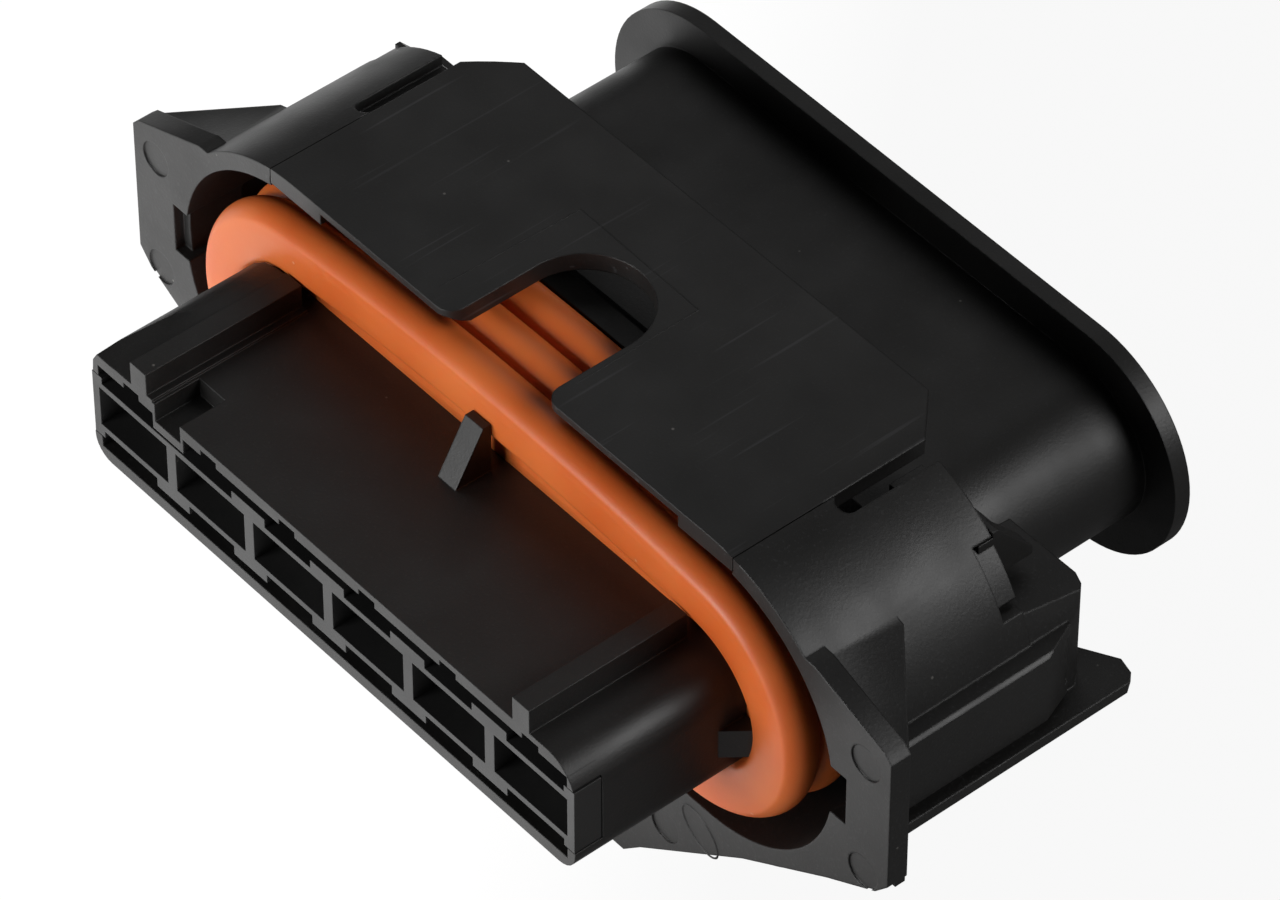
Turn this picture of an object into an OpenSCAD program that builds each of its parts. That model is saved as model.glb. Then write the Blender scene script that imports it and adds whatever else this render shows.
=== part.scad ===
// Six-way sealed plug connector: contact carrier, lock shroud with a press
// latch plate, lip seal, comb lock, contacts with over-springs and wire seals.
// Millimetres. X runs along the contact row, Y from the mating face to the
// wire side, Z up. The origin is the middle of the mating face.

/* [Contact row] */
// Distance between neighbouring contact cavities
pitch = 5.0; // [4.8:0.1:5.4]
// Width of one cavity behind the comb lock
cavity_w = 3.7; // [3.5:0.05:3.8]
// Height of one cavity behind the comb lock
cavity_h = 2.8; // [2.7:0.05:3.0]
// Thickness of the webs between the mating openings
web_t = 0.57; // [0.45:0.01:0.65]
// Height of the mating openings
mouth_h = 2.1; // [1.9:0.05:2.2]

/* [Nose] */
// Height of the nose
nose_h = 5.8; // [5.6:0.1:6.4]
// Length of the nose in front of the seal
nose_len = 8.0; // [7.2:0.1:9.5]
// Nose material beyond the middle of the end cavity
nose_side = 2.65; // [2.6:0.05:3.0]
// Radius of the nose's upper edges
nose_top_r = 1.7; // [1.0:0.1:1.9]
// Radius of the nose's lower edges
nose_low_r = 1.0; // [0.6:0.1:1.3]
// Height of the two guide ribs on the nose
rib_h = 1.25; // [0.8:0.05:1.5]
// Width of the guide ribs
rib_w = 1.0; // [0.7:0.05:1.3]
// Distance of a guide rib's middle from the nose's end
rib_in = 3.2; // [2.9:0.1:3.6]
// Length of the coding pocket beside the left rib
pocket_len = 2.3; // [1.6:0.1:3.0]
// Height of the seal stop fin on the nose
fin_h = 2.5; // [1.8:0.1:3.0]

/* [Seal] */
// Length of the lip seal along the nose
seal_len = 6.0; // [5.4:0.1:6.6]
// Half width over the seal's lips
seal_hw = 18.6; // [18.2:0.1:18.8]
// Half height over the seal's lips at the middle
seal_hh = 7.0; // [6.8:0.05:7.05]
// Depth of the valleys between the lips
seal_valley = 0.8; // [0.5:0.05:1.0]

/* [Shroud] */
// Height of the flat latch plate's top above the contact row
plate_top = 8.3; // [8.2:0.05:8.6]
// Thickness of the latch plate
plate_t = 0.9; // [0.8:0.05:0.95]
// Half width over the tunnel's outer wall
wall_hw = 21.0; // [20.9:0.05:21.3]
// Thickness of the tunnel's side walls
wall_t = 0.8; // [0.7:0.05:0.9]
// Length of the tunnel's upper wall
tunnel_len = 9.7; // [9.4:0.1:10.4]
// Length of the side boxes behind the flange's face
box_len = 13.1; // [12.6:0.1:13.8]
// Half width over the flange's ears
ear_hw = 23.5; // [23.2:0.1:24.4]
// Thickness of the front flange
flange_t = 1.0; // [0.8:0.05:1.2]
// Depth of the grip skirt's lower edge below the contact row
skirt_low = 14.0; // [13:0.1:15.5]
// Half width of the clip channel under the shroud
channel_hw = 5.8; // [5.2:0.1:6.2]

/* [Latch plate] */
// Half width of the latch plate
latch_hw = 14.2; // [13.8:0.05:14.4]
// Width of the slits beside the press tab
slit_w = 1.0; // [0.8:0.05:1.1]
// Length of the latch plate
latch_len = 11.7; // [11.4:0.1:12.4]
// Chamfer of the press tab's corners
latch_cut = 1.85; // [1.2:0.05:2.4]
// Half width of the U-shaped window
window_hw = 2.9; // [2.4:0.05:3.4]
// Length of the window's straight sides
window_len = 4.5; // [3.8:0.1:5.0]

/* [Wire side] */
// Radius of the tube's rounded sides
tube_r = 3.8; // [3.6:0.05:4.0]
// Radius of the collar's rounded sides
collar_r = 5.55; // [5.1:0.05:6.0]
// Distance from the mating face to the collar's rear face
total_len = 30.2; // [29.8:0.1:32]
// Thickness of the collar
collar_t = 0.8; // [0.6:0.05:1.0]
// Radius of the wire seal bores
bore_r = 2.05; // [1.95:0.01:2.1]

/* [Hidden] */
$fn = 48;
n_ways = 6;
row_w = (n_ways - 1) * pitch;
nose_hw = row_w / 2 + nose_side;
half_h = nose_h / 2;
rib_x = nose_hw - rib_in;
// comb lock
comb_d = 1.35;
skin_t = 0.3;
mouth_z = mouth_h / 2;
head_h = 0.75;
head_w = 2.1;
window_z = half_h - 0.6;
end_in = 0.45;
tine_len = 3.0;
tine_z = 0.9;
slot_w = 2.85;
gap = 0.05;
// seal
seal_y0 = nose_len;
seal_y1 = seal_y0 + seal_len;
seal_re = seal_hh - 0.7;
seal_dish = 0.7;
dish_in = 2.6;
lip_n = 6;
// carrier stop wall behind the seal
stop_t = 1.2;
stop_y1 = seal_y1 + stop_t;
// shroud
front_y = nose_len + 0.7;
flange_y1 = front_y + flange_t;
wall_c = wall_hw - plate_top;
web_y0 = stop_y1;
web_y1 = web_y0 + 1.2;
wall_y1 = front_y + tunnel_len;
notch_y = wall_y1 - 1.0;
box_y1 = front_y + box_len;
in_hw = wall_hw - wall_t;
plate_low = plate_top - plate_t;
in_r = plate_low;
in_c = in_hw - in_r;
key_hw = wall_hw;
key_hh = 1.3;
panel_x = wall_hw + 0.6;
panel_h = 1.85;
wing_z = 2.75;
wing_t = 0.55;
box_top = 3.45;
box_low = 3.4;
skid_t = 1.4;
latch_y1 = front_y + latch_len;
slit_y0 = front_y + 5.4;
slit_r = slit_w / 2;
pin_y = slit_y0 - slit_r - 0.7;
pin_z = plate_low + 0.1;
slit_floor = 0.65;
pin_r = 0.25;
nib_x = 11.0;
window_y = front_y + window_len;
// wire side
tube_c = row_w / 2 - 0.7;
tube_z = -0.35;
collar_y0 = total_len - collar_t;
hollow_d = 2.4;
hollow_r = 2.75;
cavity_y1 = 19.0;
seal_plug_y = 20.6;
seal_plug_len = 4.8;
// contacts
contact_y0 = comb_d + 1.3;
contact_tail = 6.9;
wire_crimp = 2.6;
jacket_crimp = 2.2;
spring_len = 5.2;
body_hw = 1.58;
body_hh = 1.1;
body_len = 8.4;
spring_t = 0.16;

black = [0.09, 0.09, 0.10];
dark = [0.13, 0.13, 0.14];
orange = [0.86, 0.36, 0.10];
tin = [0.72, 0.71, 0.68];
steel = [0.60, 0.61, 0.63];
plug = [0.80, 0.42, 0.18];

function way_x(i) = (i - (n_ways + 1) / 2) * pitch;

// radius of the long arcs of an oval with half width a, half height b, end radius re
function long_r(a, b, re) = (pow(a - re, 2) + b * b - re * re) / (2 * (b - re));
function long_half(a, b, re) = atan2(a - re, long_r(a, b, re) - b);
function oval_points(a, b, re, k = 5, e = 7) =
  let (rt = long_r(a, b, re), h = long_half(a, b, re), c = a - re)
  concat(
    [for (i = [-k : k]) let (t = h * i / k) [rt * sin(t), rt * cos(t) - rt + b]],
    [for (i = [1 : 2 * e - 1]) let (t = h + (180 - 2 * h) * i / (2 * e)) [c + re * sin(t), re * cos(t)]],
    [for (i = [-k : k]) let (t = h * i / k) [-rt * sin(t), -(rt * cos(t) - rt + b)]],
    [for (i = [1 : 2 * e - 1]) let (t = h + (180 - 2 * h) * i / (2 * e)) [-c - re * sin(t), -re * cos(t)]]);

module oval2d(a, b, re) polygon(oval_points(a, b, re));

// slot shape with full round ends
module slot2d(c, r) {
  square([2 * c, 2 * r], center = true);
  for (s = [-1, 1]) translate([s * c, 0]) circle(r);
}

// extrude an X-Z outline from y0 to y1
module ybar(y0, y1) translate([0, y1, 0]) rotate([90, 0, 0]) linear_extrude(y1 - y0) children();

// extrude an X-Y outline from z0 to z1
module zbar(z0, z1) translate([0, 0, z0]) linear_extrude(z1 - z0) children();

module block(x0, x1, y0, y1, z0, z1) translate([x0, y0, z0]) cube([x1 - x0, y1 - y0, z1 - z0]);

module both() { children(); mirror([1, 0, 0]) children(); }

// ---------- contact carrier ----------
module nose2d(g = 0) {
  w = nose_hw - g; h = half_h - g;
  rt = nose_top_r - g; rl = nose_low_r - g;
  polygon(concat(
    [for (i = [0 : 6]) [w - rt + rt * sin(i * 15), h - rt + rt * cos(i * 15)]],
    [for (i = [0 : 6]) [w - rl + rl * cos(i * 15), -h + rl - rl * sin(i * 15)]],
    [for (i = [0 : 6]) [-w + rl - rl * sin(i * 15), -h + rl - rl * cos(i * 15)]],
    [for (i = [0 : 6]) [-w + rt - rt * cos(i * 15), h - rt + rt * sin(i * 15)]]));
}

// recess that takes the comb lock, and what opens behind it
module comb_recess() {
  block(-nose_hw + end_in, nose_hw - end_in, -1, comb_d + gap, -window_z, window_z);
  for (s = [-1, 1])
    block(s > 0 ? nose_hw - end_in - 0.3 : -nose_hw - 1, s > 0 ? nose_hw + 1 : -nose_hw + end_in + 0.3,
      -1, comb_d + gap, -1.75, 1.75);
  for (i = [1 : n_ways])
    block(way_x(i) - 0.5, way_x(i) + 0.5, -1, comb_d + 2.2, 0, window_z + 0.3);
}

module cavities() {
  for (i = [1 : n_ways]) translate([way_x(i), 0, 0]) {
    block(-cavity_w / 2, cavity_w / 2, comb_d, cavity_y1, -cavity_h / 2, cavity_h / 2);
    block(-slot_w / 2, slot_w / 2, comb_d, comb_d + 5.5, -window_z, window_z);
    translate([0, cavity_y1 - 0.01, 0]) rotate([-90, 0, 0]) cylinder(h = total_len, r = bore_r);
  }
  for (i = [1 : n_ways - 1]) {
    xm = (way_x(i) + way_x(i + 1)) / 2;
    block(xm - web_t / 2 - gap, xm + web_t / 2 + gap, comb_d, comb_d + tine_len + 2, -tine_z - gap, tine_z + gap);
  }
}

module stop_fin() {
  translate([0.55, 0, 0]) rotate([0, -90, 0]) linear_extrude(1.1)
    polygon([[half_h - 0.2, seal_y0 - 1.95], [half_h, seal_y0 - 1.9], [half_h + fin_h, seal_y0 - 0.45],
      [half_h + fin_h, seal_y0 - gap], [half_h - 0.2, seal_y0 - gap]]);
}

module side_lug() {
  zbar(-1.3, 0.2) polygon([[nose_hw - 0.4, seal_y0 - 0.85], [nose_hw, seal_y0 - 0.75], [nose_hw + 0.85, seal_y0 + 0.3],
    [nose_hw + 0.85, seal_y0 + seal_dish - gap], [nose_hw - 0.4, seal_y0 + seal_dish - gap]]);
}

// the left end of the nose rises from the front until it is nearly level with its rib
module end_pad() {
  intersection() {
    ybar(0, seal_y0 - gap) polygon([[-nose_hw + 0.3, 0], [-nose_hw + 0.05, 1.2], [-nose_hw + 0.15, half_h - 0.5], [-nose_hw + 0.6, half_h + 0.25], [-nose_hw + 1.3, half_h + 0.8],
      [-nose_hw + 2.1, half_h + rib_h - 0.2], [-rib_x, half_h + rib_h - 0.15], [-rib_x, 0]]);
    translate([-20, 0, 0]) rotate([90, 0, 90]) linear_extrude(20)
      polygon([[0, 0], [0, half_h - 0.05], [1.2, half_h + 0.3], [4.2, half_h + rib_h - 0.25], [seal_y0 - gap, half_h + rib_h - 0.15], [seal_y0 - gap, 0]]);
  }
}

// snap hook that holds the shroud on the carrier: a bar in the wall's notch, a rib behind it and a shelf to the tube
module tube_hook() {
  ybar(notch_y + gap, notch_y + 1.1) intersection() {
    difference() { translate([wall_c, 0]) circle(plate_top - 0.35); translate([wall_c, 0]) circle(plate_low - 0.3); }
    translate([wall_c, box_top + 0.3]) square([10, 6.05 - box_top - 0.3]);
  }
  translate([wall_c + 4.75, 0, 0]) rotate([90, 0, 90]) linear_extrude(0.9)
    polygon([[notch_y + 0.3, box_top + 0.3], [notch_y + 0.3, 6.0], [wall_y1 + gap, 6.0], [wall_y1 + gap, 6.3], [wall_y1 + 0.3, 6.3], [box_y1 - 1.2, box_top + 0.7], [box_y1 - 1.2, box_top + 0.3]]);
  block(tube_c + 0.5, wall_c + 5.0, wall_y1 + 0.1, box_y1 - 1.6, box_top + 0.3, box_top + 0.8);
  block(tube_c + 0.5, tube_c + 2.6, wall_y1 + 0.1, box_y1 - 1.6, 1.5, box_top + 0.8);
}

module contact_carrier() color(black) difference() {
  union() {
    ybar(0, stop_y1) nose2d();
    both() block(rib_x - rib_w / 2, rib_x + rib_w / 2, 0, seal_y0 - gap, half_h - 0.5, half_h + rib_h);
    // low ledge along the inner foot of the left rib
    block(-rib_x + rib_w / 2 - 0.1, -rib_x + rib_w / 2 + 0.35, 0, seal_y0 - gap, half_h - 0.3, half_h + 0.12);
    // keys under the nose
    both() block(8.15, 9.85, 0.5, seal_y0 - 1, -half_h - 0.6, -half_h + 0.5);
    stop_fin();
    end_pad();
    both() side_lug();
    ybar(seal_y1 + gap, stop_y1) oval2d(17.9, 6.5, 6.0);
    ybar(stop_y1 - 0.1, total_len) translate([0, tube_z]) slot2d(tube_c, tube_r);
    ybar(collar_y0, total_len) translate([0, tube_z]) slot2d(tube_c, collar_r);
    both() tube_hook();
  }
  difference() {
    comb_recess();
    // web of the lowered bridge in front of the coding pocket
    block(-11.1, -9.15, -2, comb_d + 1, 1.5, window_z + 1);
  }
  // coding pocket
  block(-10.95, -9.3, -1, pocket_len, 1.95, half_h + 1);
  cavities();
  ybar(total_len - hollow_d, total_len + 1) translate([0, tube_z]) slot2d(tube_c, hollow_r);
}

// ---------- comb lock ----------
module comb_lock() color(dark) difference() {
  union() {
    // frame with one mouth per way
    block(-nose_hw + end_in + gap, nose_hw - end_in - gap, 0, comb_d, -mouth_z - skin_t, mouth_z + skin_t);
    both() block(nose_hw - end_in - 0.2, nose_hw - 0.03, 0, comb_d, -1.7, 1.7);
    for (i = [1 : n_ways - 1]) {
      xm = (way_x(i) + way_x(i + 1)) / 2;
      top = i == 1 ? mouth_z + skin_t : mouth_z + head_h;
      block(xm - head_w / 2, xm + head_w / 2, 0, comb_d, -mouth_z - head_h, top);
      block(xm - web_t / 2, xm + web_t / 2, comb_d - 0.1, comb_d + tine_len, -tine_z, tine_z);
    }
  }
  for (i = [1 : n_ways]) {
    left = i == 1 ? nose_hw - row_w / 2 - end_in : pitch / 2 - web_t / 2;
    right = i == n_ways ? nose_hw - row_w / 2 - end_in : pitch / 2 - web_t / 2;
    block(way_x(i) - left, way_x(i) + right, -1, comb_d + 1, -mouth_z, mouth_z);
  }
}

// ---------- lip seal ----------
// height of the seal's outside over its valleys, at the part u of the way along one lip
function lip_out(u) = seal_valley * (sqrt(max(0, sin(180 * u))) - 1);

// the seal's outside, one ring of points per step along its length
module seal_body() {
  ns = 3 * lip_n;
  ring = [for (i = [0 : ns]) let (o = lip_out((i % lip_n) / lip_n))
    [for (q = oval_points(seal_hw + o, seal_hh + o, seal_re + o, 4, 6)) [q[0], seal_y0 + seal_len * i / ns, q[1]]]];
  nr = len(ring[0]);
  polyhedron([for (r = ring) each r], concat(
    [[for (j = [nr - 1 : -1 : 0]) j]],
    [[for (j = [0 : nr - 1]) ns * nr + j]],
    [for (i = [0 : ns - 1], j = [0 : nr - 1]) let (a = i * nr + j, b = i * nr + (j + 1) % nr, c = b + nr, d = a + nr) each [[a, b, c], [a, c, d]]]));
}

module lip_seal() color(orange) difference() {
  seal_body();
  ybar(seal_y0 - 1, seal_y1 + 1) nose2d();
  // dished front round the nose
  ybar(seal_y0 - 1, seal_y0 + seal_dish) oval2d(seal_hw - dish_in, seal_hh - dish_in, seal_re - dish_in);
}

// ---------- lock shroud ----------
module outer2d() slot2d(wall_c, plate_top);

module inner2d() slot2d(in_c, in_r);

// opening from above for the latch plate, in the X-Z outline, and deeper up to half width d
module plate_gap2d(hw, d) {
  translate([-hw, plate_low - gap]) square([2 * hw, 5]);
  translate([-d, plate_low - 1.5]) square([2 * d, 5]);
}

module keys2d() for (s = [-1, 1]) translate([s * (in_hw - 0.3), 0]) square([2 * (key_hw - in_hw + 0.3), 2 * key_hh], center = true);

module flange2d() {
  outer2d();
  polygon([[19.0, 6.0], [ear_hw - 0.4, 4.5], [ear_hw, 4.1], [ear_hw, -2.8], [ear_hw - 0.7, -3.6], [20, -5.2], [15, -8.35],
    [8.75, -skirt_low + 1.0], [7.7, -skirt_low], [-7.7, -skirt_low], [-8.75, -skirt_low + 1.0], [-15, -8.35], [-20, -5.2],
    [-ear_hw + 0.7, -3.6], [-ear_hw, -2.8], [-ear_hw, 4.1], [-ear_hw + 0.4, 4.5], [-19.0, 6.0]]);
}

module gusset() difference() {
  // wedge that stiffens an ear against the tunnel wall
  intersection() {
    zbar(-3.2, 8) polygon([[17.5, front_y + 0.5], [ear_hw - 0.1, front_y + 0.5], [ear_hw - 0.1, flange_y1], [19.2, flange_y1 + 3.4], [17.5, flange_y1 + 3.4]]);
    ybar(front_y, 16) polygon([[17, -3.2], [ear_hw, -3.2], [ear_hw, 4.05], [17, 6.25]]);
  }
  ybar(front_y, 16) translate([wall_c, 0]) circle(plate_top - 0.4);
}

module box2d() intersection() {
  slot2d(wall_c, plate_top - 0.05);
  polygon([[tube_c + tube_r + 0.15, -box_low], [30, -box_low], [30, 2.6], [wall_hw - 0.7, box_top], [tube_c + tube_r + 0.15, box_top + 0.3]]);
}

module side_box() intersection() {
  ybar(notch_y - 0.2, box_y1) box2d();
  zbar(-10, 10) polygon([[tube_c, 10], [30, 10], [30, box_y1 - 1.5], [wall_hw - 0.2, box_y1 - 1.5], [wall_hw - 0.35, box_y1 - 0.8], [wall_hw - 0.8, box_y1 - 0.25], [wall_hw - 1.4, box_y1], [tube_c, box_y1]]);
  // its top falls towards the rear
  rotate([90, 0, 90]) linear_extrude(30) polygon([[notch_y - 1, -10], [box_y1 + 1, -10], [box_y1 + 1, 2.75], [box_y1 - 0.5, 2.9], [notch_y, box_top], [notch_y - 1, box_top]]);
}

module panel() intersection() {
  ybar(flange_y1 - 0.3, box_y1) difference() {
    polygon([[wall_hw - 0.55, -panel_h - 0.2], [panel_x, -panel_h], [panel_x, panel_h - 0.15], [panel_x - 0.15, panel_h], [wall_hw - 0.55, panel_h + 0.15]]);
    keys2d();
  }
  zbar(-5, 5) polygon([[19, front_y], [30, front_y], [30, box_y1 - 3.1], [panel_x, box_y1 - 3.1], [wall_hw - 0.1, box_y1 - 1.4], [19, box_y1 - 1.4]]);
}

module wing() zbar(-wing_z, -wing_z + wing_t) polygon([[wall_hw - 0.9, flange_y1 - 0.3], [panel_x + 0.35, flange_y1 - 0.3], [panel_x + 0.35, box_y1 + 0.9],
  [panel_x, box_y1 + 1.4], [panel_x - 0.8, box_y1 + 1.6], [19.0, box_y1 + 0.6], [19.0, box_y1 - 1], [wall_hw - 0.9, box_y1 - 1]]);

module skid() {
  block(channel_hw, channel_hw + skid_t, flange_y1 - 0.1, box_y1, -skirt_low, -plate_top + 0.5);
  block(channel_hw - 1.5, channel_hw + 0.1, flange_y1 - 0.1, box_y1, -skirt_low, -skirt_low + 1.1);
}

module lock_shroud() color(black) difference() {
  union() {
    // flange with its ears and grip skirt
    ybar(front_y, flange_y1) difference() { flange2d(); inner2d(); keys2d(); plate_gap2d(latch_hw + gap, latch_hw); }
    // tunnel that the mating shroud enters
    ybar(flange_y1, slit_y0) difference() { outer2d(); inner2d(); keys2d(); plate_gap2d(latch_hw + gap, latch_hw); }
    ybar(slit_y0, web_y0) difference() { outer2d(); inner2d(); keys2d(); plate_gap2d(latch_hw + slit_w, latch_hw + slit_floor); }
    // rear web around the tube
    ybar(web_y0, web_y1) difference() {
      outer2d();
      translate([0, tube_z]) slot2d(tube_c, tube_r + gap);
      translate([-latch_hw - slit_floor, 5]) square([2 * (latch_hw + slit_floor), 9]);
      plate_gap2d(latch_hw + slit_w, latch_hw);
    }
    // open rear part of the tunnel with the side boxes
    ybar(web_y1, notch_y) difference() { outer2d(); inner2d(); plate_gap2d(latch_hw + slit_w, latch_hw + slit_floor); }
    ybar(notch_y, wall_y1) difference() {
      outer2d(); inner2d(); plate_gap2d(latch_hw + slit_w, latch_hw + slit_floor);
      for (s = [-1, 1]) translate([s * 23, (box_top + 6.1) / 2]) square([13, 6.1 - box_top], center = true);
    }
    both() { ybar(web_y1 - 0.1, notch_y) box2d(); side_box(); gusset(); panel(); wing(); skid(); }
    // lower wall carries the channel as far as the boxes
    block(-9, 9, wall_y1 - 0.1, box_y1, -plate_top + 0.05, -plate_low - 0.05);
  }
  both() {
    translate([latch_hw + slit_r, slit_y0, plate_low - gap]) cylinder(h = 3, r = slit_r);
    translate([latch_hw - 0.1, pin_y, pin_z]) rotate([0, 90, 0]) cylinder(h = 0.95, r = pin_r + gap);
  }
  // shallow ejector marks
  for (x = [-22.06, 22.06], z = [-3.08, 3.08]) translate([x, front_y + 0.08, z]) rotate([90, 0, 0]) cylinder(h = 1, r = 0.83);
  for (s = [-1, 1]) translate([s * 10.3, front_y + 0.08, -10.4]) rotate([90, 0, 0]) cylinder(h = 1, r = 0.83);
}

// ---------- latch plate ----------
module window_cut() {
  translate([0, 0, plate_low - 2]) linear_extrude(5) {
    translate([0, window_y]) circle(window_hw, $fn = 64);
    translate([-window_hw, front_y - 1]) square([2 * window_hw, window_len + 1]);
    // rounded mouth corners
    difference() {
      translate([-window_hw - 0.8, front_y - 1]) square([2 * window_hw + 1.6, 1.8]);
      for (s = [-1, 1]) translate([s * (window_hw + 0.8), front_y + 0.8]) circle(0.8, $fn = 32);
    }
  }
}

module latch_plate() color(black) {
  difference() {
    intersection() {
      ybar(front_y, latch_y1) difference() {
        outer2d();
        translate([-30, -20]) square([60, 20 + plate_low]);
      }
      zbar(0, 20) polygon([[-latch_hw, front_y], [latch_hw, front_y], [latch_hw, latch_y1 - latch_cut],
        [latch_hw - latch_cut, latch_y1], [-latch_hw + latch_cut, latch_y1], [-latch_hw, latch_y1 - latch_cut]]);
    }
    window_cut();
    // undercut front edge between the catches
    translate([-nib_x, 0, 0]) rotate([90, 0, 90]) linear_extrude(2 * nib_x)
      polygon([[front_y - 1, plate_low - 1], [front_y + 1.1, plate_low - 1], [front_y + 1.1, plate_low], [front_y + 0.15, plate_top - 0.35], [front_y - 1, plate_top - 0.35]]);
  }
  // torsion pins in the side walls
  both() translate([latch_hw - 0.5, pin_y, pin_z]) rotate([0, 90, 0]) cylinder(h = 1.3, r = pin_r);
}

// ---------- contacts ----------
module contact() color(tin) {
  y1 = contact_y0 + body_len;
  difference() {
    block(-body_hw, body_hw, contact_y0, y1, -body_hh, body_hh);
    block(-body_hw + 0.17, body_hw - 0.17, contact_y0 - 1, y1 - 0.3, -0.48, 0.48);
    // sprung blades are split along the middle
    for (z = [-1, 1]) block(-0.12, 0.12, contact_y0 - 1, y1 - 1.6, z > 0 ? 0 : -3, z > 0 ? 3 : 0);
  }
  block(-0.85, 0.85, y1 - 0.1, y1 + contact_tail, -body_hh, -body_hh + 0.25);
  // conductor crimp, then insulation crimp
  difference() {
    translate([0, y1 + 1.0, 0]) rotate([-90, 0, 0]) cylinder(h = wire_crimp, r = 1.05);
    translate([0, y1 + 0.5, 0]) rotate([-90, 0, 0]) cylinder(h = 4, r = 0.8);
    block(-0.15, 0.15, y1, y1 + 4, 0, 2);
  }
  difference() {
    translate([0, y1 + 4.4, 0]) rotate([-90, 0, 0]) cylinder(h = jacket_crimp, r = 1.34);
    translate([0, y1 + 4.0, 0]) rotate([-90, 0, 0]) cylinder(h = 4, r = 1.12);
    block(-0.2, 0.2, y1 + 4, y1 + 8, 0, 2);
  }
}

module over_spring() color(steel) {
  y0 = contact_y0 - 0.2; y1 = y0 + spring_len;
  difference() {
    block(-body_hw - spring_t - 0.02, body_hw + spring_t + 0.02, y0, y1, -body_hh - spring_t - 0.02, body_hh + spring_t + 0.02);
    block(-body_hw - 0.02, body_hw + 0.02, y0 - 1, y1 + 1, -body_hh - 0.02, body_hh + 0.02);
    for (z = [-3, 0.6]) block(-0.5, 0.5, y0 + 0.8, y1 - 0.8, z, z + 2.4);
  }
  // locking lance
  translate([-0.45, 0, 0]) rotate([90, 0, 90]) linear_extrude(0.9)
    polygon([[y0 + 0.5, body_hh + 0.05], [y0 + 0.5, body_hh + spring_t], [y1 - 0.9, body_hh + 0.75], [y1 - 0.9, body_hh + 0.55], [y0 + 0.9, body_hh + 0.05]]);
}

module wire_seal() color(plug) translate([0, 0, 0]) rotate([-90, 0, 0]) rotate_extrude() {
  difference() {
    union() {
      translate([0, seal_plug_y]) square([bore_r - 0.35, seal_plug_len]);
      for (i = [0 : 2]) translate([bore_r - 0.42, seal_plug_y + 0.8 + i * 1.6]) circle(0.4, $fn = 24);
      translate([0, seal_plug_y - 3.7]) square([body_hh - 0.27, 3.8]);
    }
    translate([-3, seal_plug_y - 5]) square([3.6, 20]);
  }
}

contact_carrier();
lock_shroud();
latch_plate();
lip_seal();
comb_lock();
translate([way_x(1), 0, 0]) contact();  // contact_1
translate([way_x(2), 0, 0]) contact();  // contact_2
translate([way_x(3), 0, 0]) contact();  // contact_3
translate([way_x(4), 0, 0]) contact();  // contact_4
translate([way_x(5), 0, 0]) contact();  // contact_5
translate([way_x(6), 0, 0]) contact();  // contact_6
translate([way_x(1), 0, 0]) over_spring();  // over_spring_1
translate([way_x(2), 0, 0]) over_spring();  // over_spring_2
translate([way_x(3), 0, 0]) over_spring();  // over_spring_3
translate([way_x(4), 0, 0]) over_spring();  // over_spring_4
translate([way_x(5), 0, 0]) over_spring();  // over_spring_5
translate([way_x(6), 0, 0]) over_spring();  // over_spring_6
translate([way_x(1), 0, 0]) wire_seal();  // wire_seal_1
translate([way_x(2), 0, 0]) wire_seal();  // wire_seal_2
translate([way_x(3), 0, 0]) wire_seal();  // wire_seal_3
translate([way_x(4), 0, 0]) wire_seal();  // wire_seal_4
translate([way_x(5), 0, 0]) wire_seal();  // wire_seal_5
translate([way_x(6), 0, 0]) wire_seal();  // wire_seal_6
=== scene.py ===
import bpy
import bmesh
import math
import numpy as np
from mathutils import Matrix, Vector


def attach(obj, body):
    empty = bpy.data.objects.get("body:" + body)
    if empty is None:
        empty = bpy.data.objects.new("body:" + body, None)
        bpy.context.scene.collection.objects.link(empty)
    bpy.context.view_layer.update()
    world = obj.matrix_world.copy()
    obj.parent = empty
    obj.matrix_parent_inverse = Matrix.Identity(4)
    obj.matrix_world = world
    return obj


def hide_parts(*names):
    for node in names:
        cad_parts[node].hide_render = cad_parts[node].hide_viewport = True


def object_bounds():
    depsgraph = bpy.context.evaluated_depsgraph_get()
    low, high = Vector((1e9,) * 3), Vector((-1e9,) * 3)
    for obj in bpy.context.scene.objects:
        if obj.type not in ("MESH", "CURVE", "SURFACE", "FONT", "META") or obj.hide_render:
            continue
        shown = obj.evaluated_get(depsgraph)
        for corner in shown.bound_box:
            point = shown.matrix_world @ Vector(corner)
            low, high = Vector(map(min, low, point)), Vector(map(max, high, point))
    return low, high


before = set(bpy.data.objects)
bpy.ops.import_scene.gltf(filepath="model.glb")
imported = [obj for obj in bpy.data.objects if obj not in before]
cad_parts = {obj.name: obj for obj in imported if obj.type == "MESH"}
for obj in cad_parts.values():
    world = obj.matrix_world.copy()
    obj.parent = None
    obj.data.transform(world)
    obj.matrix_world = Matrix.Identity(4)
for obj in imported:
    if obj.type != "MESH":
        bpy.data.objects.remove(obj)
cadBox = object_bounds()
mm = 0.001


def linearColour(hexText, alpha=1.0):
    # sRGB hex to the linear values that the shaders take
    parts = [int(hexText.lstrip("#")[i:i + 2], 16) / 255 for i in (0, 2, 4)]
    return tuple(p / 12.92 if p <= 0.04045 else ((p + 0.055) / 1.055) ** 2.4 for p in parts) + (alpha,)


def addNode(tree, kind, settings=None, **inputs):
    # one node: its settings, and for each input a value or the socket that feeds it
    node = tree.nodes.new("ShaderNode" + kind)
    for name, value in (settings or {}).items():
        setattr(node, name, value)
    for name, value in inputs.items():
        socket = node.inputs[int(name[1:]) if name[0] == "i" and name[1:].isdigit() else name.replace("_", " ")]
        if isinstance(value, bpy.types.NodeSocket):
            tree.links.new(value, socket)
        else:
            socket.default_value = value
    return node


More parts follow.
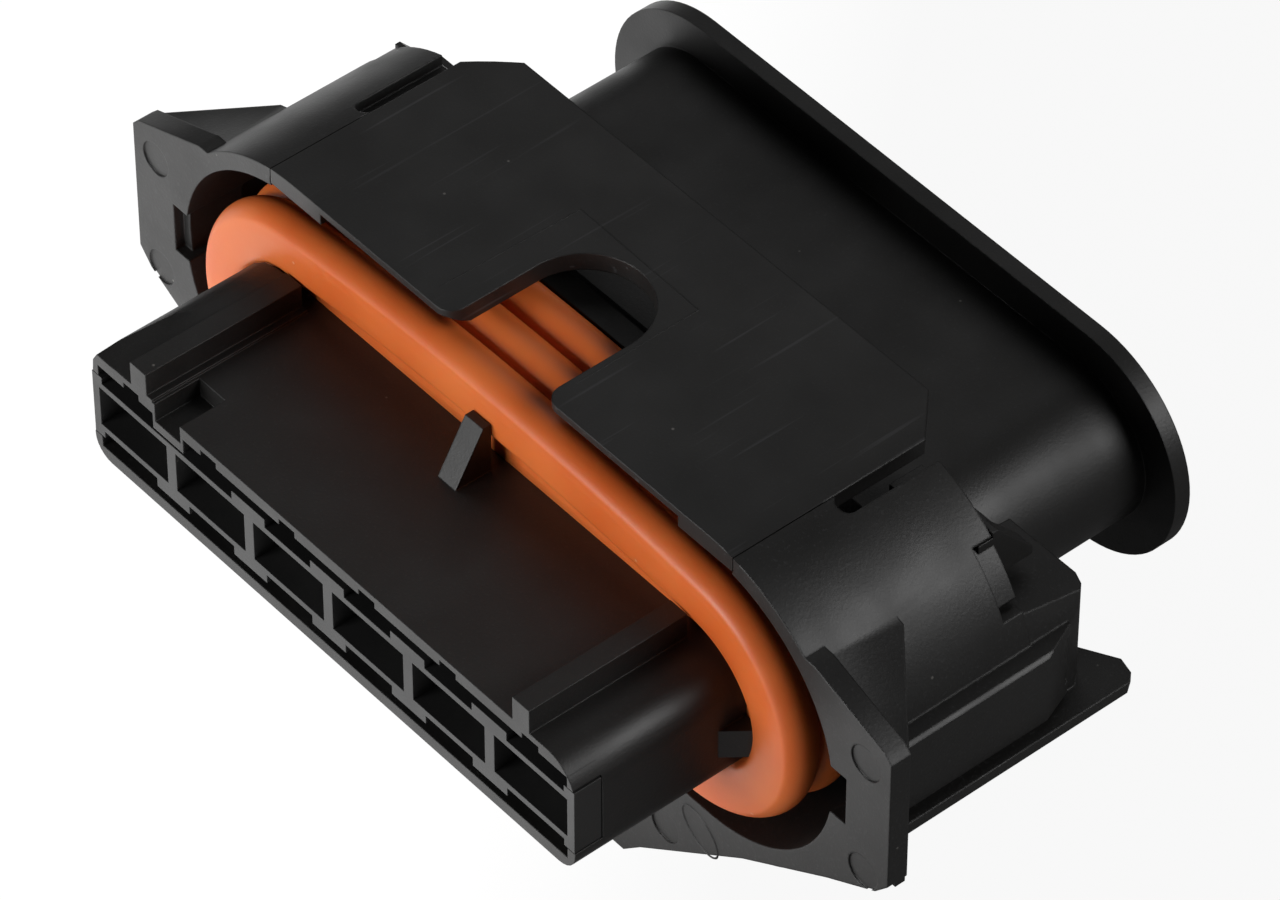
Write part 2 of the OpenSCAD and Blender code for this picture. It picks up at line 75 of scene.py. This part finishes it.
def newMaterial(name):
    material = bpy.data.materials.new(name)
    material.use_nodes = True
    tree = material.node_tree
    tree.nodes.clear()
    shader = addNode(tree, "BsdfPrincipled")
    output = addNode(tree, "OutputMaterial", Surface=shader.outputs[0])
    place = addNode(tree, "TexCoord").outputs["Object"]
    return material, tree, shader, place


def perMm(size):
    # noise scale whose pattern repeats about every size millimetres
    return 1 / (size * mm)


# ---------- black moulded plastic ----------

def mouldedPolyester(name, look):
    # PBT moulded in a spark-eroded tool: dull black, the grain's sparkle painted into the colour as pale specks, a
    # soft sheen on rounded sides
    material, tree, shader, place = newMaterial(name)
    grain = addNode(tree, "TexNoise", {"noise_dimensions": "3D"}, Vector=place, Scale=perMm(look["grainMm"]), Detail=3.0, Roughness=0.65)
    waves = addNode(tree, "TexNoise", Vector=place, Scale=perMm(3.2), Detail=2.0)
    cloud = addNode(tree, "TexNoise", Vector=place, Scale=perMm(7.5), Detail=4.0, Roughness=0.6)
    dark, light = linearColour(look["dark"]), linearColour(look["light"])
    tint = addNode(tree, "ValToRGB", Fac=cloud.outputs["Fac"])
    tint.color_ramp.elements[0].position, tint.color_ramp.elements[1].position = 0.32, 0.7
    tint.color_ramp.elements[0].color, tint.color_ramp.elements[1].color = dark, light
    colour = tint.outputs["Color"]
    # painted glint: pale specks put into the colour where the eroded grain would sparkle
    paintedGlintSpeck = addNode(tree, "MapRange", {"clamp": True}, Value=grain.outputs["Fac"], From_Min=0.58, From_Max=0.74, To_Min=0.0, To_Max=look["paintedGlint"])
    colour = addNode(tree, "Mix", {"data_type": "RGBA"}, Factor=paintedGlintSpeck.outputs[0], i6=colour, i7=linearColour(look["paintedGlintSpeck"])).outputs[2]
    # dust: small round spots, few to the square centimetre
    spots = addNode(tree, "TexVoronoi", {"feature": "F1"}, Vector=place, Scale=perMm(look["dustMm"]), Randomness=1.0)
    near = addNode(tree, "MapRange", {"clamp": True}, Value=spots.outputs["Distance"], From_Min=look["dustSize"], From_Max=look["dustSize"] * 0.4, To_Min=0.0, To_Max=1.0)
    pick = addNode(tree, "SeparateColor", Color=spots.outputs["Color"])
    some = addNode(tree, "Math", {"operation": "GREATER_THAN"}, i0=pick.outputs[0], i1=0.55)
    dust = addNode(tree, "Math", {"operation": "MULTIPLY"}, i0=near.outputs[0], i1=some.outputs[0])
    dust = addNode(tree, "Math", {"operation": "MULTIPLY"}, i0=dust.outputs[0], i1=look["dust"])
    colour = addNode(tree, "Mix", {"data_type": "RGBA"}, Factor=dust.outputs[0], i6=colour, i7=linearColour("#8d8a85")).outputs[2]
    rough = addNode(tree, "MapRange", Value=waves.outputs["Fac"], From_Min=0.3, From_Max=0.7, To_Min=look["rough"] - 0.05, To_Max=look["rough"] + 0.06).outputs[0]
    if look.get("scratches"):
        # fine scuffs: noise drawn out along two directions, only its crests kept
        for turn, size in ((0.5, 1.0), (-0.35, 1.6), (1.35, 1.3)):
            along = addNode(tree, "Mapping", Vector=place, Rotation=(0, 0, turn), Scale=(1, 0.03, 1))
            lines = addNode(tree, "TexNoise", Vector=along.outputs[0], Scale=perMm(0.25 * size), Detail=1.0)
            crest = addNode(tree, "MapRange", {"clamp": True}, Value=lines.outputs["Fac"], From_Min=0.71, From_Max=0.78, To_Min=0.0, To_Max=look["scratches"])
            colour = addNode(tree, "Mix", {"data_type": "RGBA"}, Factor=crest.outputs[0], i6=colour, i7=linearColour("#5b5b5e")).outputs[2]
    # rounded edges, but not along the joint between plate and shroud, which is one skin on the real thing
    axes = addNode(tree, "SeparateXYZ", Vector=place)
    side = addNode(tree, "Math", {"operation": "ABSOLUTE"}, i0=axes.outputs[0])
    atJoint = addNode(tree, "Math", {"operation": "COMPARE"}, i0=side.outputs[0], i1=14.22 * mm, i2=0.35 * mm)
    ahead = addNode(tree, "Math", {"operation": "LESS_THAN"}, i0=axes.outputs[1], i1=13.3 * mm)
    above = addNode(tree, "Math", {"operation": "GREATER_THAN"}, i0=axes.outputs[2], i1=7.7 * mm)
    joint = addNode(tree, "Math", {"operation": "MULTIPLY"}, i0=atJoint.outputs[0], i1=ahead.outputs[0])
    joint = addNode(tree, "Math", {"operation": "MULTIPLY"}, i0=joint.outputs[0], i1=above.outputs[0])
    radius = addNode(tree, "MapRange", Value=joint.outputs[0], From_Min=0.0, From_Max=1.0, To_Min=look["edge"] * mm, To_Max=0.0)
    rounded = addNode(tree, "Bevel", {"samples": 4}, Radius=radius.outputs[0])
    low = addNode(tree, "Bump", Strength=0.5, Distance=0.03 * mm, Height=waves.outputs["Fac"], Normal=rounded.outputs[0])
    fine = addNode(tree, "Bump", Strength=look["bump"], Distance=0.02 * mm, Height=grain.outputs["Fac"], Normal=low.outputs[0])
    tree.links.new(colour, shader.inputs["Base Color"])
    tree.links.new(rough, shader.inputs["Roughness"])
    tree.links.new(fine.outputs[0], shader.inputs["Normal"])
    shader.inputs["IOR"].default_value = 1.55
    shader.inputs["Specular IOR Level"].default_value = look["specular"]
    return material


shroudLook = {"dark": "#100f0e", "light": "#181716", "paintedGlintSpeck": "#3c3c3d", "paintedGlint": 0.5, "grainMm": 0.16, "dustMm": 1.6, "dustSize": 0.05, "dust": 0.5,
              "rough": 0.5, "bump": 0.5, "edge": 0.12, "specular": 0.5}
plateLook = dict(shroudLook, scratches=0.25, grainMm=0.12, paintedGlint=0.2, bump=0.3, edge=0.1, rough=0.47)
carrierLook = dict(shroudLook, grainMm=0.14, paintedGlint=0.25, edge=0.08)
combLook = {"dark": "#1c1c1c", "light": "#262626", "paintedGlintSpeck": "#3c3c3d", "paintedGlint": 0.3, "grainMm": 0.12, "dustMm": 1.6, "dustSize": 0.05, "dust": 0.3,
            "rough": 0.5, "bump": 0.3, "edge": 0.05, "specular": 0.5}

shroudBlack = mouldedPolyester("mouldedShroudBlack", shroudLook)
plateBlack = mouldedPolyester("mouldedPlateBlack", plateLook)
carrierBlack = mouldedPolyester("mouldedCarrierBlack", carrierLook)
combGrey = mouldedPolyester("mouldedCombGrey", combLook)
print("plastics made")


# ---------- silicone ----------

def siliconeRubber(name, look):
    # liquid silicone with a little oil bloom: lets light in for about a millimetre, satin skin
    material, tree, shader, place = newMaterial(name)
    cloud = addNode(tree, "TexNoise", Vector=place, Scale=perMm(5.0), Detail=3.0)
    fine = addNode(tree, "TexNoise", Vector=place, Scale=perMm(0.22), Detail=3.0, Roughness=0.6)
    tint = addNode(tree, "ValToRGB", Fac=cloud.outputs["Fac"])
    tint.color_ramp.elements[0].position, tint.color_ramp.elements[1].position = 0.3, 0.7
    tint.color_ramp.elements[0].color, tint.color_ramp.elements[1].color = linearColour(look["deep"]), linearColour(look["pale"])
    spots = addNode(tree, "TexVoronoi", Vector=place, Scale=perMm(2.2))
    near = addNode(tree, "MapRange", {"clamp": True}, Value=spots.outputs["Distance"], From_Min=0.045, From_Max=0.02, To_Min=0.0, To_Max=0.5)
    colour = addNode(tree, "Mix", {"data_type": "RGBA"}, Factor=near.outputs[0], i6=tint.outputs[0], i7=linearColour("#f2d5bd"))
    rough = addNode(tree, "MapRange", Value=cloud.outputs["Fac"], From_Min=0.3, From_Max=0.7, To_Min=look["rough"] - 0.05, To_Max=look["rough"] + 0.05)
    bump = addNode(tree, "Bump", Strength=0.35, Distance=0.015 * mm, Height=fine.outputs["Fac"])
    tree.links.new(colour.outputs[2], shader.inputs["Base Color"])
    tree.links.new(rough.outputs[0], shader.inputs["Roughness"])
    tree.links.new(bump.outputs[0], shader.inputs["Normal"])
    shader.inputs["IOR"].default_value = 1.41
    shader.inputs["Subsurface Weight"].default_value = look["inside"]
    shader.inputs["Subsurface Radius"].default_value = (1.0, 0.35, 0.12)
    shader.inputs["Subsurface Scale"].default_value = 0.6 * mm
    return material


sealOrange = siliconeRubber("siliconeLipOrange", {"deep": "#d0622a", "pale": "#dc7236", "rough": 0.42, "inside": 0.35})
plugOrange = siliconeRubber("siliconePlugOrange", {"deep": "#bd5a2a", "pale": "#cc6b38", "rough": 0.45, "inside": 0.3})


# ---------- contact metals ----------

def sheetMetal(name, look):
    # rolled strip, stamped and bent: faint rolling lines along its length
    material, tree, shader, place = newMaterial(name)
    along = addNode(tree, "Mapping", Vector=place, Scale=(1, 0.06, 1))
    lines = addNode(tree, "TexNoise", Vector=along.outputs[0], Scale=perMm(0.12), Detail=3.0)
    cloud = addNode(tree, "TexNoise", Vector=place, Scale=perMm(1.5), Detail=2.0)
    tint = addNode(tree, "ValToRGB", Fac=cloud.outputs["Fac"])
    tint.color_ramp.elements[0].color, tint.color_ramp.elements[1].color = linearColour(look["deep"]), linearColour(look["pale"])
    rough = addNode(tree, "MapRange", Value=lines.outputs["Fac"], From_Min=0.3, From_Max=0.7, To_Min=look["rough"] - 0.06, To_Max=look["rough"] + 0.08)
    bump = addNode(tree, "Bump", Strength=0.2, Distance=0.006 * mm, Height=lines.outputs["Fac"])
    tree.links.new(tint.outputs[0], shader.inputs["Base Color"])
    tree.links.new(rough.outputs[0], shader.inputs["Roughness"])
    tree.links.new(bump.outputs[0], shader.inputs["Normal"])
    shader.inputs["Metallic"].default_value = 1.0
    return material


tinPlate = sheetMetal("tinPlatedBronze", {"deep": "#a9a69e", "pale": "#c2c0b9", "rough": 0.34})
springSteel = sheetMetal("stainlessSpring", {"deep": "#a3a5a8", "pale": "#bcbec0", "rough": 0.28})
print("rubber and metals made")


# ---------- pieces from the solids ----------

def finish(piece, material, body):
    piece.data.materials.clear()
    piece.data.materials.append(material)
    bpy.context.collection.objects.link(piece)
    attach(piece, body)
    return piece


def dressed(name, node, material, body, sharp=28):
    # the solid's own surface with its points joined, smooth over curves and crisp at edges
    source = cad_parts[node].data
    mesh = source.copy()
    mesh.name = name
    work = bmesh.new()
    work.from_mesh(mesh)
    bmesh.ops.remove_doubles(work, verts=work.verts, dist=0.0005 * mm)
    work.to_mesh(mesh)
    work.free()
    if mesh.has_custom_normals:
        mesh.attributes.remove(mesh.attributes["custom_normal"]) if "custom_normal" in mesh.attributes else None
    mesh.polygons.foreach_set("use_smooth", np.ones(len(mesh.polygons), bool))
    mesh.set_sharp_from_angle(angle=math.radians(sharp))
    piece = bpy.data.objects.new(name, mesh)
    finish(piece, material, body)
    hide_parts(node)
    return piece


shroud = dressed("shroudBody", "lock_shroud", shroudBlack, "housing")
plate = dressed("latchPlate", "latch_plate", plateBlack, "latch")
carrier = dressed("contactCarrier", "contact_carrier", carrierBlack, "housing")
comb = dressed("combLock", "comb_lock", combGrey, "comb")
print("mouldings dressed")

for nodeName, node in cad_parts.items():
    kind = tinPlate if nodeName.startswith("contact_") and nodeName != "contact_carrier" else springSteel if nodeName.startswith("over_spring") else plugOrange if nodeName.startswith("wire_seal") else None
    if kind:
        node.data.materials.clear()
        node.data.materials.append(kind)
print("contacts and wire seals coloured")


# ---------- lip seal ----------

sealShape = {"halfWidth": 18.6, "halfHeight": 7.0, "endRadius": 6.3, "front": 8.0, "length": 6.0, "valley": 0.8,
             "dish": 0.7, "dishIn": 2.6, "noseHalfWidth": 15.15, "noseHalfHeight": 2.9, "noseCorner": 1.35, "around": 420, "along": 30}


def ovalRing(a, b, re, t):
    # outline of two long arcs and two end arcs, its point at the part t (0 to 1) of the way round, as x and z
    rt = ((a - re) ** 2 + b * b - re * re) / (2 * (b - re))
    h = np.arctan2(a - re, rt - b)
    quarter = np.array([rt * h, re * (np.pi / 2 - h)])
    total = 4 * quarter.sum()
    s = (t % 1) * total
    q, s = np.divmod(s, quarter.sum())
    s = np.where(q % 2 == 1, quarter.sum() - s, s)
    onTop = s < quarter[0]
    angle = np.where(onTop, s / rt, h + (s - quarter[0]) / re)
    x = np.where(onTop, rt * np.sin(angle), (a - re) + re * np.sin(angle))
    z = np.where(onTop, rt * np.cos(angle) - rt + b, re * np.cos(angle))
    return np.where(q >= 2, -x, x), np.where((q == 1) | (q == 2), -z, z)


def gridMesh(name, x, y, z, wrapU=False, wrapV=False):
    # a grid of points (rows by columns) made into quads
    rows, cols = x.shape
    mesh = bpy.data.meshes.new(name)
    r = np.arange(rows if wrapU else rows - 1)
    c = np.arange(cols if wrapV else cols - 1)
    rr, cc = np.meshgrid(r, c, indexing="ij")
    a = rr * cols + cc
    b = rr * cols + (cc + 1) % cols
    d = ((rr + 1) % rows) * cols + cc
    e = ((rr + 1) % rows) * cols + (cc + 1) % cols
    quads = np.stack([a, b, e, d], -1).reshape(-1, 4)
    mesh.from_pydata((np.stack([x, y, z], -1).reshape(-1, 3) * mm).tolist(), [], quads.tolist())
    mesh.polygons.foreach_set("use_smooth", np.ones(len(mesh.polygons), bool))
    return mesh


def sealSurface(s):
    # a closed section carried round the oval: lips outside, each a swollen sine, a flat front band, a dish, the bore
    t = np.linspace(0, 1, s["around"], endpoint=False)
    u = np.linspace(0, 3, s["along"] * 3 + 1)[1:-1]
    lips = s["valley"] * (np.abs(np.sin(np.pi * u)) ** 0.5 - 1)
    outer = np.stack([lips, s["length"] * u / 3], 1)
    # front band: from the first lip round a small corner, over the flat, down into the dish
    corner = np.array([[-0.62, 0.06], [-0.8, 0.02], [-1.1, 0.0], [-1.7, 0.0], [-2.15, 0.02], [-2.35, 0.07], [-2.5, 0.2], [-2.58, 0.45], [-2.65, 0.62], [-2.8, 0.68], [-3.0, 0.7]])
    rear = np.array([[-0.8, 6.0], [-1.6, 6.0], [-3.0, 6.0]])
    section = np.concatenate([rear[::-1], outer[::-1], corner])
    xs, zs = zip(*[ovalRing(s["halfWidth"] + o, s["halfHeight"] + o, s["endRadius"] + o, t) for o in section[:, 0]])
    x, z = np.array(xs), np.array(zs)
    y = s["front"] + np.repeat(section[:, 1:2], s["around"], 1)
    # bore: brought in to the nose's own outline, front and rear
    nx, nz = ovalRing(s["noseHalfWidth"], s["noseHalfHeight"], s["noseCorner"], t)
    ends = [(x[-1], z[-1], s["dish"]), (x[0], z[0], s["length"])]
    for edgeX, edgeZ, depth in ends:
        order = (0.5, 1.0) if depth == s["dish"] else (1.0, 0.5)
        for part in order:
            x = np.concatenate([x, (edgeX * (1 - part) + nx * part)[None]])
            z = np.concatenate([z, (edgeZ * (1 - part) + nz * part)[None]])
            y = np.concatenate([y, np.full((1, s["around"]), s["front"] + depth)])
    return gridMesh("lipSeal", x, y, z, wrapU=True, wrapV=True)


sealPiece = bpy.data.objects.new("lipSeal", sealSurface(sealShape))
finish(sealPiece, sealOrange, "housing")
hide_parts("lip_seal")
print("lip seal made")


# ---------- small moulded marks ----------

markShape = {"witnessWide": 0.07, "witnessHigh": 0.02, "plateTop": 8.3, "flangeFront": 8.7, "ovalCentre": (12.45, -8.9), "ovalHalf": (1.25, 0.72), "ovalWide": 0.1, "ovalHigh": 0.05}


def ridge(name, path, across, out, wide, high, closed):
    # a low rounded ridge: at each point of the path five points, a cosine hump as wide and high as given
    path, across, out = np.asarray(path, float), np.asarray(across, float), np.asarray(out, float)
    k = np.linspace(-1, 1, 7)
    points = path[:, None] + across[:, None] * (k * wide / 2)[None, :, None] + out[:, None] * (np.cos(k * np.pi / 2) * high - 0.004)[None, :, None]
    return gridMesh(name, points[..., 0], points[..., 1], points[..., 2], wrapU=closed)


def straightRidge(name, start, end, m):
    path = np.linspace(start, end, 24)
    along = (np.array(end) - np.array(start)) / np.linalg.norm(np.array(end) - np.array(start))
    across = np.cross((0, 0, 1), along)
    return ridge(name, path, np.tile(across, (24, 1)), np.tile((0, 0, 1), (24, 1)), m["witnessWide"], m["witnessHigh"], False)


witnessEnds = [((-4.45, 9.5), (-4.25, 16.6)), ((-4.25, 16.6), (3.15, 16.45)), ((3.15, 16.45), (3.2, 10.1))]
for number, (start, end) in enumerate(witnessEnds, 1):
    height = markShape["plateTop"]
    line = bpy.data.objects.new("witnessLine%d" % number, straightRidge("witnessLine%d" % number, (*start, height), (*end, height), markShape))
    finish(line, plateBlack, "latch")

turn = np.linspace(0, 2 * np.pi, 60, endpoint=False)
cx, cz = markShape["ovalCentre"]
a, b = markShape["ovalHalf"]
tilt = math.radians(-38)
px, pz = a * np.cos(turn), b * np.sin(turn)
qx, qz = b * np.cos(turn), a * np.sin(turn)
size = np.hypot(qx, qz)
ring = np.stack([cx + px * math.cos(tilt) - pz * math.sin(tilt), np.full(60, markShape["flangeFront"]), cz + px * math.sin(tilt) + pz * math.cos(tilt)], 1)
outward = np.stack([(qx * math.cos(tilt) - qz * math.sin(tilt)) / size, np.zeros(60), (qx * math.sin(tilt) + qz * math.cos(tilt)) / size], 1)
blankOval = bpy.data.objects.new("blankOval", ridge("blankOval", ring, outward, np.tile((0, -1, 0), (60, 1)), markShape["ovalWide"], markShape["ovalHigh"], True))
finish(blankOval, shroudBlack, "housing")
print("moulded marks made")


# ---------- floor, light and camera ----------

# the floor's bounce strength is a glow painted on its front-left half, a painted pool of light
stageLook = {"floor": "#8c8c8c", "paintedBounceGlow": 1.3, "room": 0.02}


def stagePlane(size, height, look):
    # a white table: white to the eye; its half in front and to the left glows, a painted pool of light fading towards
    # the back, which throws light back up onto the part
    mesh = bpy.data.meshes.new("floor")
    mesh.from_pydata([(-size, -size, height), (size, -size, height), (size, size, height), (-size, size, height)], [], [(0, 1, 2, 3)])
    floor = bpy.data.objects.new("floor", mesh)
    bpy.context.collection.objects.link(floor)
    material, tree, shader, place = newMaterial("paleFloor")
    shader.inputs["Base Color"].default_value = linearColour(look["floor"])
    shader.inputs["Roughness"].default_value = 0.9
    axes = addNode(tree, "SeparateXYZ", Vector=place)
    across = addNode(tree, "Math", {"operation": "MULTIPLY"}, i0=axes.outputs[0], i1=-0.76)
    ahead = addNode(tree, "Math", {"operation": "MULTIPLY_ADD"}, i0=axes.outputs[1], i1=-0.64, i2=across.outputs[0])
    # painted pool of light: emission on the front-left half of the floor, faded out far away
    paintedPool = addNode(tree, "MapRange", {"clamp": True}, Value=ahead.outputs[0], From_Min=-16 * mm, From_Max=-2 * mm, To_Min=0.0, To_Max=look["paintedBounceGlow"])
    far = addNode(tree, "MapRange", {"clamp": True}, Value=ahead.outputs[0], From_Min=80 * mm, From_Max=160 * mm, To_Min=1.0, To_Max=0.3)
    glow = addNode(tree, "Math", {"operation": "MULTIPLY"}, i0=paintedPool.outputs[0], i1=far.outputs[0])
    paintedBounceGlow = addNode(tree, "Emission", Color=(1, 1, 1, 1), Strength=glow.outputs[0])
    table = addNode(tree, "AddShader", i0=shader.outputs[0], i1=paintedBounceGlow.outputs[0])
    seen = addNode(tree, "LightPath")
    white = addNode(tree, "Emission", Color=(1, 1, 1, 1), Strength=1.0)
    share = addNode(tree, "Math", {"operation": "MULTIPLY"}, i0=seen.outputs["Is Camera Ray"], i1=0.93)
    mixed = addNode(tree, "MixShader", Fac=share.outputs[0], i1=table.outputs[0], i2=white.outputs[0])
    output = next(n for n in tree.nodes if n.type == "OUTPUT_MATERIAL")
    tree.links.new(mixed.outputs[0], output.inputs["Surface"])
    floor.data.materials.append(material)


stagePlane(3.0, cadBox[0].z - 0.00002, stageLook)

world = bpy.data.worlds.new("studio")
bpy.context.scene.world = world
world.use_nodes = True
worldTree = world.node_tree
worldTree.nodes.clear()
seen = addNode(worldTree, "LightPath")
room = addNode(worldTree, "Background", Color=(1, 1, 1, 1), Strength=stageLook["room"])
backdrop = addNode(worldTree, "Background", Color=(1, 1, 1, 1), Strength=1.0)
worldMix = addNode(worldTree, "MixShader", Fac=seen.outputs["Is Camera Ray"], i1=room.outputs[0], i2=backdrop.outputs[0])
addNode(worldTree, "OutputWorld", Surface=worldMix.outputs[0])

# each lamp: the way it lies from the middle of the part, how far, its sides and its power
lamps = {"frontLamp": ((-0.2, -1.0, 0.22), 0.45, (0.25, 0.15), 1.6),
         "rimLamp": ((0.71, 0.455, 0.54), 0.5, (0.26, 0.2), 1.1),
         "overheadLamp": ((-0.537, 0.455, 0.71), 0.5, (0.4, 0.4), 0.2)}
middle = Vector((0, 0.015, -0.003))
for name, (way, far, sides, power) in lamps.items():
    data = bpy.data.lights.new(name, "AREA")
    data.shape, data.size, data.size_y, data.energy = "RECTANGLE", sides[0], sides[1], power
    lamp = bpy.data.objects.new(name, data)
    lamp.location = middle + Vector(way).normalized() * far
    lamp.rotation_mode = "QUATERNION"
    lamp.rotation_quaternion = (-Vector(way)).to_track_quat("-Z", "Y")
    bpy.context.collection.objects.link(lamp)

cameraData = bpy.data.cameras.new("camera")
cameraData.sensor_width = 36
cameraData.lens = 36 * 8011.58 / 1280
cameraData.clip_start, cameraData.clip_end = 0.01, 20
camera = bpy.data.objects.new("camera", cameraData)
azimuth, elevation = math.radians(49.743), math.radians(45.252)
back = Vector((math.sin(azimuth) * math.cos(elevation), -math.cos(azimuth) * math.cos(elevation), math.sin(elevation)))
camera.location = (0.17411, -0.13133, 0.22842)
camera.rotation_mode = "QUATERNION"
camera.rotation_quaternion = (-back).to_track_quat("-Z", "Y")
bpy.context.collection.objects.link(camera)
bpy.context.scene.camera = camera
bpy.context.scene.view_settings.view_transform = "Standard"
print("stage set")
